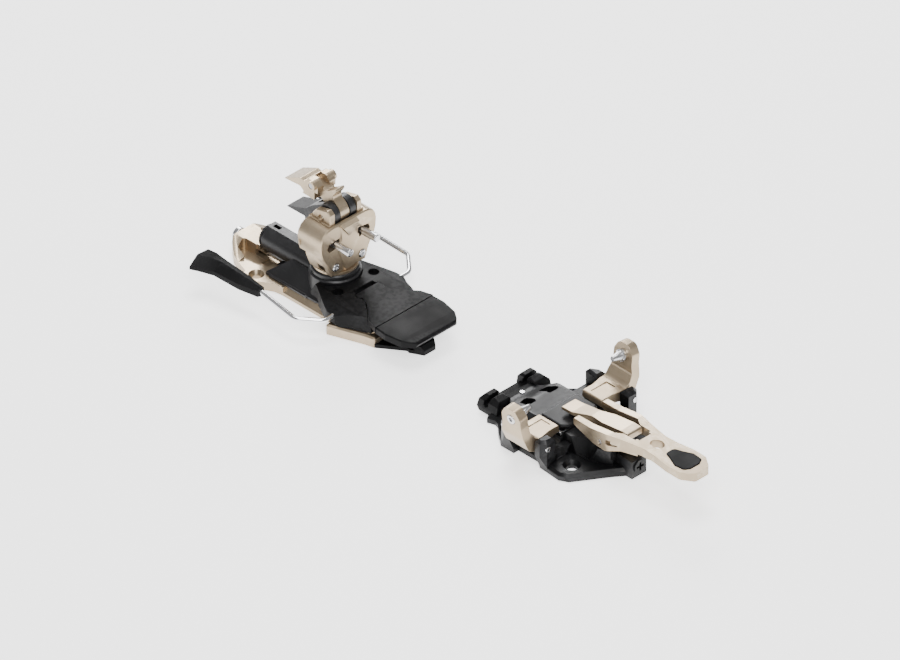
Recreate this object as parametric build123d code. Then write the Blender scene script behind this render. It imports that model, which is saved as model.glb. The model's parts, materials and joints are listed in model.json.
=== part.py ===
from build123d import *
import math
import os

# Touring ski binding, heel unit and toe unit on one ski, millimetres.
# +X points to the ski's tip, +Y to the skier's left, +Z up from the ski's top face.
# The origin lies on the ski's top face, on the heel turret's upright axis.

os.makedirs("parts", exist_ok=True)

# ---------------------------------------------------------------- driving sizes
# Places along the ski
toe_x = 186.0             # middle of the toe unit, also of its screw pattern
rail_rear = -50.0         # rear end of the open guide rail
rail_front = 20.8         # front end of the guide rail, where the foot begins
tail_x = -73.0            # rear face of the heel plate's housing
foot_front = 50.2         # front face of the heel plate's foot
slide_travel = 25.0       # how far the carriage slides forward of its rearmost place

# Heel plate
rail_half = 19.8          # half width of the rail at the ski
rail_top_half = 16.6      # half width of the rail's flat top
rail_edge = 2.1           # height of the rail's upright edge
rail_height = 5.3         # height of the rail's top
foot_half = 29.1          # half width of the foot at its rear
foot_height = 6.4         # height of the foot
beam_height = 10.4        # top of the housing over the adjusting screw
beam_half = 5.2           # half width of that housing
rear_hole_x = -41.5       # rear ski screws
rear_hole_y = 21.0
front_hole_x = 41.5       # front ski screws
front_hole_y = 13.0
ski_screw_hole = 2.75     # radius of the through holes for ski screws
screw_sink = 4.55         # radius at the top of their countersinks
screw_lobe = 7.2          # radius of the plate around a rear screw

# Adjusting screw under the carriage
adjust_z = 4.6            # height of its axis
adjust_r = 1.9            # thread radius
adjust_head_r = 4.3
adjust_head_len = 3.4
slot_half = 6.2           # half width of the rail's slot
slot_foot_half = 9.2      # half width of the undercut below it
slot_floor = 1.2
slot_lip = 3.3            # height where the undercut ends

# Carriage
tube_r = 7.7              # release spring tube
tube_z = 15.4             # height of its axis
tube_rear = -51.0
tube_bore = 5.0
spring_wire = 0.75
collar_r = 15.0           # round collar that carries the turret
collar_top = 20.75
post_r = 7.0              # turret post
bush_wall = 1.0
skirt_rear = -38.0        # pointed rear ends of the skirts
deck_z = 6.9              # underside of the carriage ahead of the rail
deck_thick = 2.2

ridge_top = 24.8          # flat ridge along the top of the tube
ridge_half = 3.1
skirt_half = rail_top_half + 0.7

# Turret
ring_r = 14.0
ring_top = 23.8
face_x = 10.8             # front face
face_thick = 4.2
back_x = -8.8
waist_x = 7.0             # half length of the neck below the block
block_z = 40.0            # lower edge of the block
turret_top = 58.0
pin_y = 10.3              # heel pins
pin_z = 46.3
pin_r = 2.35
pin_tip = 23.2
pin_shank_r = 2.1         # part of the pin inside the turret
arm_y = 10.2              # pin arm pivots
arm_z = 30.5
arm_spread = 12.0         # degrees each pin can swing outward
arm_x0 = 0.6
arm_thick = 5.4

# Risers
riser_x = 1.5             # riser axle
riser_z = 60.5
riser_axle_r = 1.6
ear_in = 8.7              # bracket ears, inner and outer faces
ear_out = 12.3
hub_r = 6.9               # radius of the riser hubs
stem_half = 3.3           # half width of the upper riser's stem
fork_in = 3.9             # lower riser's fork arms, inner and outer faces
fork_out = 8.2
riser_half = 7.0          # half width of the riser noses

# Brake
brake_half = 27.0         # widest half width of the brake housing
brake_top = 18.6
brake_floor = 9.3
wire_r = 1.525
wire_x = 25.0             # cross bar of the brake wire
wire_z = 12.9
pedal_x = 31.0            # pedal axle
pedal_z = 16.4
pedal_axle_r = 1.25
pedal_top = 18.6
pedal_thick = 3.4
pad_joint = 54.7          # joint between pedal and front pad
pad_front = 80.8
pad_half = 22.6
pad_thick = 4.4

# Toe unit
bolt_x = 25.0             # half spacing of the ski screws along the ski
bolt_y = 24.0             # and across it
bolt_hole = 3.2
bolt_sink = 5.25
toe_plate = 4.6           # thickness of the screw pads
toe_deck = 15.2           # height of the middle deck
cover_top = 17.0
cover_thick = 2.4
cover_half = 14.2
wing_half = 9.0           # half width of a wing along the ski
wing_in = 16.4            # inner end of a wing
hinge_y = 33.8            # wing hinge
hinge_z = 15.6
hinge_r = 1.75
wing_open = 6.5           # degrees a wing stands open at rest
toe_pin_z = 35.2          # pin axis when closed
toe_pin_gap = 30.1        # pin tip to middle plane when closed
toe_pin_len = 8.3
wing_wall_in = 38.4       # inner face of the upright part when closed
wing_wall = 6.0
lever_x = toe_x + 36.0     # lever axle
lever_z = 20.4
lever_axle_r = 1.7
tongue_half = 5.5
lug_half_in = 6.0         # upright lugs that hold the lever axle
lug_half_out = 8.8
arm_in = 9.3              # lever fork arms
arm_out = 13.6
lever_top = 28.4
lever_tip = toe_x + 102.5
boss_front = toe_x + 53.6  # front end of the toe base
boss_half = 5.6

# Clearances
run = 0.05                # radial running clearance of a shaft
gap = 0.3                 # gap between moving faces
slide_gap = 0.12          # gap of the carriage in its slot
far = 400.0               # longer than any piece, for cutting


# ---------------------------------------------------------------- helpers
def face_of(points, radius=0):
    """Flat face with the given corners, each rounded by its radius."""
    count = len(points)
    radii = radius if isinstance(radius, list) else [radius] * count
    if max(radii) == 0:
        return make_face(Polyline(points, close=True))
    return make_face(FilletPolyline(points, radius=radii, close=True))


def plan(points, z0, z1, radius=0):
    """Prism upright along Z."""
    return extrude(Plane.XY.offset(z0) * face_of(points, radius), amount=z1 - z0)


def side(points, y0, y1, radius=0):
    """Prism along Y from an outline in X and Z."""
    return extrude(Plane.XZ.offset(-y0) * face_of(points, radius), amount=-(y1 - y0))


def front(points, x0, x1, radius=0):
    """Prism along X from an outline in Y and Z."""
    return extrude(Plane.YZ.offset(x0) * face_of(points, radius), amount=x1 - x0)


def block(x0, x1, y0, y1, z0, z1):
    centre = ((x0 + x1) / 2, (y0 + y1) / 2, (z0 + z1) / 2)
    return Pos(*centre) * Box(abs(x1 - x0), abs(y1 - y0), abs(z1 - z0))


def rod_x(x0, x1, y, z, r):
    return Pos((x0 + x1) / 2, y, z) * Rot(0, 90, 0) * Cylinder(r, abs(x1 - x0))


def rod_y(y0, y1, x, z, r):
    return Pos(x, (y0 + y1) / 2, z) * Rot(90, 0, 0) * Cylinder(r, abs(y1 - y0))


def rod_z(z0, z1, x, y, r):
    return Pos(x, y, (z0 + z1) / 2) * Cylinder(r, z1 - z0)


def both(points):
    """Outline across the middle plane from the corners on its +Y side."""
    return points + [(x, -y) for x, y in reversed(points)]


def both_front(points):
    """The same for an outline in Y and Z."""
    return points + [(-y, z) for y, z in reversed(points)]


def flip(shape):
    """Mirror image across the middle plane of the ski."""
    return mirror(shape, about=Plane.XZ)


def pair(shape):
    return shape + flip(shape)


def solids_of(shapes):
    return Compound(children=[s for shape in shapes for s in shape.solids()])


def coil(radius, wire, length, turns):
    """Coil spring along +Z from the origin."""
    path = Helix(pitch=length / turns, height=length, radius=radius)
    ring = Plane(origin=path @ 0, z_dir=path % 0) * Circle(wire)
    return sweep(ring, path=path)


parts = {}


# ---------------------------------------------------------------- heel plate
def heel_base_plate():
    rail = front(both_front([(rail_half, 0), (rail_half, rail_edge), (rail_top_half, rail_height)]),
                 rear_hole_x, rail_front + 2)
    tail = [(tail_x, 8.5), (tail_x + 2.4, 11.6), (tail_x + 10, 17.6), (tail_x + 18.4, 20.9),
            (rear_hole_x - 3, rear_hole_y + 3), (rear_hole_x + 5.5, rear_hole_y + 4),
            (rear_hole_x + 14, rail_half + 0.9), (rear_hole_x + 20, rail_half)]
    slope = both_front([(rear_hole_y + 9, 0), (rear_hole_y + 9, rail_height - 0.6),
                        (rail_half, rail_height), (beam_half + 1.6, beam_height)])
    raised = tail_x + 16
    deck = plan(both(tail), 0, rail_height)
    hump = plan(both(tail), 0, beam_height) & front(slope, tail_x - 1, raised)
    lobe = rod_z(0, rail_height, rear_hole_x, rear_hole_y, screw_lobe)
    beam = block(raised - 2, rail_rear + 1, -beam_half, beam_half, 0, beam_height)
    beam -= block(tube_rear - 4.2, far, -far, far, tube_z - tube_r - gap, far)
    plate = rail + deck + hump + pair(lobe) + beam
    # hollow on each side of the beam, open to the front
    pocket = plan([(tail_x + 5.5, beam_half + 0.6), (tail_x + 8, 12.6), (tail_x + 17, 15.6),
                   (rail_rear + 4, 14), (rail_rear + 8, 10), (rail_rear + 8, beam_half + 0.6)],
                  slot_lip - 0.4, far, radius=2)
    plate -= pair(pocket)
    # broad foot ahead of the rail
    foot = plan([(rail_front, 0)] + [(rail_front, foot_half), (rail_front + 23.6, foot_half - 8.8),
                (foot_front, foot_half - 10.2), (foot_front, 0)], 0, foot_height, radius=[0, 1.6, 14, 1, 0])
    foot = chamfer(foot.faces().sort_by(Axis.Z)[-1].edges().filter_by(Axis.Y, reverse=True), 1.0)
    foot -= block(rail_front - 1, far, -1, skirt_half + gap, rail_height, far)
    plate += pair(foot)
    # undercut slot for the carriage foot, and the screw's way through the tail
    slot = block(rail_rear, rail_front - 1.2, -slot_half, slot_half, slot_lip - 0.01, rail_height + 4)
    undercut = block(rail_rear, rail_front - 1.2, -slot_foot_half, slot_foot_half, slot_floor, slot_lip)
    way = block(tail_x + 7, rail_rear + 2, -adjust_r - 0.9, adjust_r + 0.9, slot_floor, beam_height - 3)
    window = block(rail_rear - 8, rail_rear + 2, -beam_half - 3, beam_half + 3,
                   slot_lip - 0.2, adjust_z + adjust_r + 0.4)
    plate -= slot + undercut + way + window
    plate -= rod_x(tail_x - 1, tail_x + 8, 0, adjust_z, adjust_r + run)
    plate -= rod_x(rail_front - 2, rail_front + 3, 0, adjust_z, adjust_r + run)
    # ski screws
    for x, y, top in ((rear_hole_x, rear_hole_y, rail_height), (front_hole_x, front_hole_y, foot_height)):
        drill = rod_z(-1, top + 1, x, y, ski_screw_hole)
        sink = Pos(x, y, top - 1.35) * Cone(ski_screw_hole, screw_sink, 2.7)
        rim = rod_z(top - 0.001, top + far / 10, x, y, screw_sink)
        plate -= pair(drill + sink + rim)
    # scale marks on the right bevel, with no figures
    slope_z = (rail_edge + rail_height) / 2
    slope_y = (rail_half + rail_top_half) / 2
    for step in (-1, 0, 1):
        mark = Pos(-6.5 + 13 * step, -slope_y, slope_z) * Rot(45, 0, 0) * Box(0.5, 2.6, 0.3)
        plate -= mark
    return plate


parts["heel_base_plate"] = heel_base_plate()


def glide_plate():
    plate = plan(both([(foot_front, foot_half - 10.3), (65.2, 8.1), (67.2, 8.6), (74.7, 4.6)]), 0, 2.4)
    lip = side([(66.2, 2.3), (68.6, 5.6), (73.2, 5.6), (75.2, 2.9), (75.2, 0), (66.2, 0)], -7, 7)
    lip = lip & plan(both([(64, 8.6), (67.2, 8.6), (75.2, 4.4)]), 0, 8)
    rib = block(foot_front, 67, -1.5, 1.5, 2.3, 4.4)
    return plate + lip + rib


parts["glide_plate"] = glide_plate()


def adjust_screw():
    shaft = rod_x(tail_x - 2.2, rail_front + 2.5, 0, adjust_z, adjust_r)
    head = rod_x(tail_x - 2.2 - adjust_head_len, tail_x - 2.2, 0, adjust_z, adjust_head_r)
    head = chamfer(head.edges(), 0.5)
    star = rod_x(tail_x - 3 - adjust_head_len, tail_x - 0.4 - adjust_head_len, 0, adjust_z, 1.7)
    return head + shaft - star


parts["adjust_screw"] = adjust_screw()
washer = rod_x(tail_x - 1.9, tail_x, 0, adjust_z, adjust_head_r - 0.4)
parts["adjust_washer"] = washer - rod_x(tail_x - 3, tail_x + 1, 0, adjust_z, adjust_r + run)


# ---------------------------------------------------------------- carriage
bush_r = post_r + run + bush_wall
bush_low = (9.2, 10.7)
bush_high = (collar_top - 2.9, collar_top - 0.1)


def carriage():
    low = rail_height + slide_gap
    body = front(both_front([(skirt_half, low), (skirt_half - 0.3, low + 2.0), (8.5, tube_z + 1.6)]),
                 skirt_rear, 8)
    body &= plan(both([(skirt_rear, skirt_half), (skirt_rear + 15, 6.4)]) + [(2, -skirt_half), (2, skirt_half)],
                 0, 40)
    # low flange on each side, raised where it passes over the foot
    flange = front([(skirt_half - 3, low), (skirt_half + 0.5, low), (skirt_half + 0.7, low + 1.2),
                    (skirt_half - 3, low + 3.4)], skirt_rear + 3, rail_front - slide_travel - 0.8)
    flange += front([(skirt_half - 3, foot_height + gap), (skirt_half + 0.7, foot_height + gap),
                     (skirt_half + 0.5, low + 1.9), (skirt_half - 3, low + 3.4)], -6, 5.8)
    flange &= plan([(skirt_rear + 3, 10), (skirt_rear + 3, skirt_half - 1.4), (skirt_rear + 9, far), (6, far), (6, 10)],
                   0, 40)
    tube = rod_x(tube_rear, -6, 0, tube_z, tube_r)
    tube += front(both_front([(ridge_half, ridge_top), (7.0, tube_z + 3.2)]), tube_rear, -6)
    web = block(tube_rear + 17, -4, -4.2, 4.2, low, tube_z)
    drum = rod_z(low, collar_top, 0, 0, collar_r)
    drum = chamfer(drum.edges().group_by(Axis.Z)[-1], 0.8)
    deck = plan(both([(4, 15), (20, 17), (24, 13)]), deck_z, deck_z + deck_thick)
    shell = body + pair(flange) + tube + web + drum + deck
    # foot in the rail's slot
    shell += block(-40, -6.5, -slot_half + slide_gap, slot_half - slide_gap, slot_lip - slide_gap - 0.2, low + 0.5)
    shell += block(-40, -6.5, -slot_foot_half + slide_gap, slot_foot_half - slide_gap,
                   slot_floor + slide_gap, slot_lip - slide_gap)
    shell -= rod_x(tail_x, rail_front + 10, 0, adjust_z, adjust_r + 2 * run)
    shell -= block(-20, -10, -3.2, 3.2, 1, 8.1)
    # bores for the post, its bushes and the release spring
    shell -= rod_z(collar_top, 60, 0, 0, ring_r + gap)
    shell -= rod_z(bush_low[0], collar_top + 1, 0, 0, bush_r)
    shell -= rod_x(tube_rear - 1, -17, 0, tube_z, tube_bore)
    shell -= rod_x(-18, 0, 0, tube_z, 3.3)
    # window in the ridge
    shell -= block(tube_rear + 2.5, tube_rear + 7.5, -1.3, 1.3, tube_z + 4, far / 10)
    for y in (-13.9, 13.9):
        shell -= rod_z(deck_z - 1, deck_z + 4, 16.3, y, 1.6)
    return shell


parts["carriage"] = carriage()
nut = block(-19.9, -10.1, -3.1, 3.1, slot_floor + slide_gap + 0.1, 8.0)
parts["adjust_nut"] = nut - rod_x(-30, 0, 0, adjust_z, adjust_r + run)


def ring_z(z0, z1, r_in, r_out):
    return rod_z(z0, z1, 0, 0, r_out) - rod_z(z0 - 1, z1 + 1, 0, 0, r_in)


bushes = [ring_z(z0, z1, post_r + run, bush_r) for z0, z1 in (bush_low, bush_high)]
window = rod_x(-20, 0, 0, tube_z, 3.3)
parts["turret_bushes"] = solids_of([bush - window for bush in bushes])

cap = rod_x(tube_rear - 3.4, tube_rear - gap / 2, 0, tube_z, tube_r - 0.5)
cap = chamfer(cap.edges().group_by(Axis.X)[0], 0.6)
cap -= rod_x(tube_rear - 1.7, tube_rear - 1.0, 0, tube_z, tube_r + 1) - rod_x(-60, -40, 0, tube_z, tube_r - 1.2)
cap += rod_x(tube_rear - 1, tube_rear + 5, 0, tube_z, tube_bore - run)
cap -= block(tube_rear - 5, tube_rear - 2.2, -4.4, 4.4, tube_z - 0.8, tube_z + 0.8)
parts["release_cap"] = cap

spring_x0 = tube_rear + 5.2
plunger_x0 = -21.0
spring_room = plunger_x0 - spring_x0 - 0.4
coil_r = tube_bore - spring_wire - 0.35
parts["release_spring"] = (Pos(spring_x0 + spring_wire + 0.1, 0, tube_z) * Rot(0, 90, 0)
                           * coil(coil_r, spring_wire, spring_room - 2 * spring_wire, 8))
plunger = rod_x(plunger_x0, -17.4, 0, tube_z, tube_bore - run) + rod_x(-19, -post_r - 0.1, 0, tube_z, 3.2)
parts["release_plunger"] = plunger

# ---------------------------------------------------------------- turret
outline = [(13.0, ring_top + 1.4), (16.4, 33.9), (20.2, block_z), (21.5, 44), (21.9, 49.3), (21.2, 52.6),
           (19.3, 55.6), (16.4, 57.4), (13.0, turret_top)]


def turret():
    plate = front(both_front(outline), face_x - face_thick, face_x)
    head_line = [(12.5, block_z)] + outline[2:]
    head = front(both_front(head_line), back_x, face_x - 1)
    head = chamfer(head.faces().sort_by(Axis.X)[0].edges(), 1.4)
    waist = front(both_front([(12.4, ring_top + 1.4), (15.6, 33.9), (15.6, block_z + 1)]), -7.5, face_x - 3)
    body = plate + head + waist
    body = chamfer(body.faces().sort_by(Axis.X)[-1].edges(), 0.7)
    # raised middle panel of the front face, wide above and narrow below
    panel = front(both_front([(3.4, ring_top + 1.6), (9.6, 43.5), (6.6, 47), (6.6, turret_top - 2)]),
                  face_x - 1, face_x + 0.8)
    panel = chamfer(panel.faces().sort_by(Axis.X)[-1].edges(), 0.7)
    chin = side([(face_x - 2, 48.2), (face_x + 1.0, 48.2), (face_x + 2.6, 53.5), (face_x + 2.6, 56),
                 (face_x - 2, turret_top)], -6.2, 6.2)
    chin &= front([(-6.2, 56), (-6.2, turret_top), (6.2, turret_top), (6.2, 56), (0.6, 48), (-0.6, 48)], 5, 15)
    body += panel + chin
    flange = rod_z(ring_top + 0.05, ring_top + 1.6, 0, 0, 13)
    post = rod_z(bush_low[0] + 0.3, ring_top + 2, 0, 0, post_r)
    body += flange + post
    # room for the pin arms, open to the front through the pin slots
    for sign in (-1, 1):
        room = front([(sign * 5.6, 26.3), (sign * 13.4, 26.3), (sign * 17.3, 44), (sign * 17.3, 51.4),
                      (sign * 5.6, 51.4)], arm_x0 - 0.4, arm_x0 + arm_thick + 0.4)
        slot = front([(sign * 7.2, pin_z - 2.8), (sign * 7.2, pin_z + 2.8), (sign * 15.2, pin_z + 1.9),
                      (sign * 16.6, pin_z - 1), (sign * 15.2, pin_z - 3.6)], arm_x0 + 2, far / 10)
        pivot = rod_x(arm_x0 - 4, face_x + 3, sign * arm_y, arm_z, 1.6)
        seat = rod_x(face_x - 1.2, face_x + 3, sign * arm_y, arm_z, 2.7)
        body -= room + slot + pivot + seat
        # shallow panel on the outer side
        body -= block(-6.4, 5.2, sign * 20.9, sign * 24, 41.6, 47.4)
    body -= rod_y(-6, 6, arm_x0 + arm_thick / 2, 38, 3.3)
    # slope behind the risers
    body -= side([(back_x - 2, 46), (back_x - 0.5, 46), (-3.5, 53), (7.4, 53.2), (9.0, 58.6), (9, 70),
                  (back_x - 2, 70)], -fork_out - 0.5, fork_out + 0.5)
    return body


parts["turret"] = turret()
ring = ring_z(collar_top + 0.1, ring_top, post_r + 1, ring_r)
parts["turret_ring"] = chamfer(ring.edges().group_by(Axis.Z)[-1].sort_by(SortBy.LENGTH)[-1], 0.8)


def pin_arm(sign):
    arm = front([(sign * (arm_y - 3.1), arm_z), (sign * (arm_y + 3.1), arm_z),
                 (sign * (pin_y + 4.1), pin_z), (sign * (pin_y - 3.4), pin_z)], arm_x0, arm_x0 + arm_thick)
    arm += rod_x(arm_x0, arm_x0 + arm_thick, sign * arm_y, arm_z, 3.4)
    arm += rod_x(arm_x0, arm_x0 + arm_thick, sign * pin_y, pin_z, 3.9)
    arm -= rod_x(-20, 20, sign * arm_y, arm_z, 1.6 + run)
    return arm - rod_x(-20, 20, sign * pin_y, pin_z, pin_shank_r)


def heel_pin(sign):
    pin = rod_x(face_x + 2.2, pin_tip, sign * pin_y, pin_z, pin_r) + rod_x(arm_x0, face_x + 3, sign * pin_y, pin_z, pin_shank_r)
    return chamfer(pin.edges().group_by(Axis.X)[-1], 0.45)


def arm_screw(sign):
    head = rod_x(face_x - 1.1, face_x + 0.9, sign * arm_y, arm_z, 2.4)
    head = chamfer(head.edges().group_by(Axis.X)[-1], 0.5)
    socket = Pos(face_x, sign * arm_y, arm_z) * Rot(0, 90, 0) * extrude(RegularPolygon(1.2, 6), 3)
    return head + rod_x(arm_x0 - 3.9, face_x, sign * arm_y, arm_z, 1.6) - socket


for side_name, sign in (("left", 1), ("right", -1)):
    parts["pin_arm_" + side_name] = pin_arm(sign)
    parts["heel_pin_" + side_name] = heel_pin(sign)
parts["arm_pivot_screws"] = solids_of([arm_screw(1), arm_screw(-1)])
parts["pin_spring"] = (Pos(arm_x0 + arm_thick / 2, -4.8, 38) * Rot(-90, 0, 0) * coil(2.3, 0.6, 9.6, 5))

# ---------------------------------------------------------------- risers
bracket_x0 = -5.6


def riser_bracket():
    ear = side([(bracket_x0, turret_top), (bracket_x0, riser_z + 0.6), (bracket_x0 + 3, riser_z + 4.4),
                (riser_x + 4.6, riser_z + 6.6), (riser_x + 7.2, riser_z + 4.4), (riser_x + 7.2, turret_top)],
               ear_in, ear_out, radius=[0, 1.6, 2, 1.4, 1.4, 0])
    ear = chamfer(ear.faces().sort_by(Axis.Y)[-1].edges(), 0.5)
    foot = block(bracket_x0 - 1.4, riser_x + 7.2, ear_in, ear_out + 1.2, turret_top, turret_top + 1.3)
    ear += foot
    ear -= rod_y(0, 20, riser_x, riser_z, riser_axle_r)
    ear -= rod_y(ear_out - 1.4, 20, riser_x, riser_z, riser_axle_r + 0.7)
    return solids_of([ear, flip(ear)])


parts["riser_bracket"] = riser_bracket()
parts["riser_axle"] = rod_y(-ear_out + 1.6, ear_out - 1.6, riser_x, riser_z, riser_axle_r)


def upper_riser():
    nose = side([(-34, 68), (-20.5, 74.4), (-17.2, 73.6), (-14.2, 77.2), (-9.4, 77.4), (-6.6, 74),
                 (-6.8, 69.5), (-9.5, 64.9), (-19.2, 65.2), (-17.8, 66.6), (-20.7, 69)],
                -riser_half, riser_half, radius=[0.3, 1, 1.5, 1.8, 2.2, 1.6, 1.2, 0.6, 0.4, 0.4, 2])
    # channel between the two lobes
    nose -= side([(-16.6, 90), (-15.2, 74.2), (-12, 71.8), (-2, 71.8), (-2, 90)], -2.4, 2.4, radius=[0, 1, 1, 0, 0])
    lobe = rod_y(stem_half, riser_half + 1.8, -10.6, 74.3, 3.1)
    nose += pair(lobe)
    stem = side([(-15, 73), (-8, 72.6), (-3.4, 71.8), (3.6, 76.4), (4.4, 75.4), (0.6, 69.6),
                 (riser_x + 5, riser_z + 4.6), (riser_x + 4.4, riser_z - 3), (riser_x - 3, riser_z - 3),
                 (-6.8, 65.6), (-15, 66.5)], -stem_half, stem_half, radius=[0, 0, 1, 0.3, 0.3, 3, 2, 1, 1, 3, 0])
    hub = rod_y(-stem_half, stem_half, riser_x, riser_z, hub_r - 0.4)
    body = nose + stem + hub
    body -= rod_y(-20, 20, riser_x, riser_z, riser_axle_r + run)
    body -= pair(rod_y(riser_half + 0.2, 20, -10.6, 74.3, 1.8))
    # hollow under the nose where the lower riser's fork passes
    body -= pair(block(-9.3, 40, stem_half, 20, 40, riser_z + 9.5))
    return body


parts["upper_riser"] = upper_riser()
magnets = rod_y(riser_half + 0.2, riser_half + 1.5, -10.6, 74.3, 1.8)
parts["riser_magnets"] = solids_of([magnets, flip(magnets)])


def lower_riser():
    nose = side([(-33.3, 49.2), (-17.6, 54.8), (-9.6, 61.6), (-4.8, 62.2), (-4.8, 56.4), (-9.6, 52.4), (-15.8, 49.4)],
                -riser_half + 0.8, riser_half - 0.8, radius=[0.3, 1, 1.5, 0, 0, 2, 2])
    arm = side([(-16, 55.9), (-9.6, 61.8), (-4.6, 64.6), (riser_x, riser_z + hub_r), (riser_x, riser_z - 5.6),
                (-6, 55.4), (-9.6, 52.2), (-15.6, 49.6)], fork_in, fork_out, radius=[0, 2, 2, 0, 0, 1, 1, 0])
    hub = rod_y(fork_in, fork_out, riser_x, riser_z, hub_r)
    hub -= block(riser_x - 9, riser_x + 9, 0, 20, 40, riser_z - 5.6)
    body = nose + pair(arm + hub)
    # room for the stem between the arms
    body -= block(-11.5, 40, -fork_in, fork_in, 40, 80)
    body -= rod_y(-20, 20, riser_x, riser_z, riser_axle_r + run)
    return body


parts["lower_riser"] = lower_riser()

# ---------------------------------------------------------------- brake
hook = [(24.6, 8.6), (28.2, 9.6), (30.4, 8.2), (34.6, 9.6), (41.6, 15.3), (47, 20.2), (pad_joint - 0.1, pad_half)]


def brake_housing():
    outline = both([(-4, 17), (3, 17.6), (10, 21.4), (16, 24.6), (21, brake_half), (27, brake_half),
                    (34, 22.6), (46, 17.4), (46, 6)])
    body = plan(outline, deck_z + 0.1, brake_top)
    section = both_front([(brake_half - 1.2, deck_z), (brake_half, deck_z + 2.4), (brake_half, wire_z + 1.2),
                          (20.4, brake_top - 1.6), (16.5, brake_top)])
    body &= front(section, -10, 60)
    body &= side([(2, brake_top), (6, brake_top), (24, brake_top), (44, brake_top - 1.4), (50, 12), (50, 0), (-2, 0),
                  (-2, 12)], -40, 40)
    body -= rod_z(0, far, 0, 0, collar_r + gap)
    body -= block(-20, 6.3, -far, far, 0, rail_height + 4.4)
    # hollow over the carriage deck and under the pedal
    body -= plan(both([(-6, 13), (3, 15.6), (20, 17.6), (24.3, 13.6)]), 0, deck_z + deck_thick + 0.1)
    body -= block(-20, 8.4, -12.6, 12.6, 0, deck_z + 1.4)
    hollow = block(wire_x - 3.4, 60, -7.6, 7.6, 0, brake_top - 2.2)
    hollow += plan(both([(wire_x - 3.4, 7.6), (33, 7.6), (37, 12.5), (60, 14)]), 0, pedal_top)
    body -= hollow
    body -= pair(block(wire_x - 3.4, wire_x + 3.4, 12, 20.5, 0, wire_z + 3.4))
    # opening of the pedal, with a fine joint all round
    grown = [(x - 1.3 * gap, y + gap) for x, y in hook[:2]] + [(x, y + 1.4 * gap) for x, y in hook[2:]]
    body -= plan(both(grown + [(pad_joint + 9, pad_half + 1)]), pedal_top - pedal_thick - 0.7, far / 10)
    body -= plan(both([(24.21, 8.9), (36, 8.9), (44, 14), (60, 14)]), brake_floor + 1, pedal_top - 1)
    # wire, pedal axle and screw bores
    body -= rod_y(-40, 40, wire_x, wire_z, wire_r + run)
    body -= rod_y(-12.4, 12.4, pedal_x, pedal_z, pedal_axle_r)
    for y in (-13.9, 13.9):
        body -= rod_z(0, 40, 16.3, y, 1.6)
        body -= rod_z(deck_z + deck_thick + 2.6, 40, 16.3, y, 3.2)
    return body


parts["brake_housing"] = brake_housing()


def brake_screw(sign):
    z = deck_z + deck_thick + 2.6
    head = rod_z(z, z + 2.2, 16.3, sign * 13.9, 2.8)
    socket = Pos(16.3, sign * 13.9, z + 1) * extrude(RegularPolygon(1.5, 6), 3)
    return head + rod_z(deck_z + 0.2, z, 16.3, sign * 13.9, 1.6) - socket


parts["brake_screws"] = solids_of([brake_screw(1), brake_screw(-1)])


def brake_pedal():
    low = pedal_top - pedal_thick
    plate = side([(24.6, pedal_top - 0.7), (25.1, pedal_top), (pad_joint - 0.1, pedal_top - 0.6), (pad_joint - 0.1, low - 0.9),
                  (40, low - 0.2), (24.6, low + 1.2)], -40, 40)
    plate &= plan(both(hook), 0, 40)
    # raised crown that fades to the front
    lug = side([(pedal_x - 3, pedal_z + 0.6), (pedal_x - 2.6, pedal_z - 0.8), (pedal_x, pedal_z - 2.7),
                (pedal_x + 2.6, pedal_z - 0.8), (pedal_x + 5, pedal_z + 0.6)], -7.2, 7.2, radius=[0, 0.8, 1.6, 0.8, 0])
    plate += lug
    rim = plan(both([(46.4, 14.6), (pad_joint - 0.1, 19.2)]), low - 3.2, low + 0.5)
    rim -= plan(both([(44, 12), (pad_joint + 4, 17)]), low - 4, low + 1)
    plate += rim
    return plate - rod_y(-20, 20, pedal_x, pedal_z, pedal_axle_r + run)


def pedal_pad():
    top = pedal_top - 0.6
    pad = plan(both([(pad_joint, pad_half - 0.1), (63, pad_half + 0.4), (73.8, 20.9), (78.6, 17.6), (pad_front, 14.6)]),
               top - pad_thick - 1.4, top, radius=[0.8, 4, 3, 3, 2.4, 2.4, 3, 3, 4, 0.8])
    pad &= side([(pad_joint, top), (73, top - 0.5), (pad_front - 1.2, top - 1.2), (pad_front, top - 2.6),
                 (pad_front - 1, top - 4.6), (72, top - pad_thick - 0.4), (pad_joint, top - pad_thick + 0.4)], -40, 40)
    return chamfer(pad.faces().sort_by(Axis.Z)[-1].edges(), 0.6)


parts["brake_pedal"] = brake_pedal()
parts["pedal_pad"] = pedal_pad()
parts["pedal_axle"] = rod_y(-12.3, 12.3, pedal_x, pedal_z, pedal_axle_r)

wire_path = [(wire_x, 0, wire_z), (wire_x, 33.4, wire_z), (12.8, 44.2, 13.6), (-15, 42.2, 16.4), (-31, 41.4, 17.8)]
wire_bends = [6.0, 6.0, 8.0]


def brake_wire():
    outer = wire_path[1:]
    path = [(x, -y, z) for x, y, z in reversed(outer)] + outer
    line = FilletPolyline(path, radius=wire_bends[::-1] + wire_bends)
    ring = Plane(origin=line @ 0, z_dir=line % 0) * Circle(wire_r)
    return sweep(ring, path=line)


parts["brake_wire"] = brake_wire()

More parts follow.
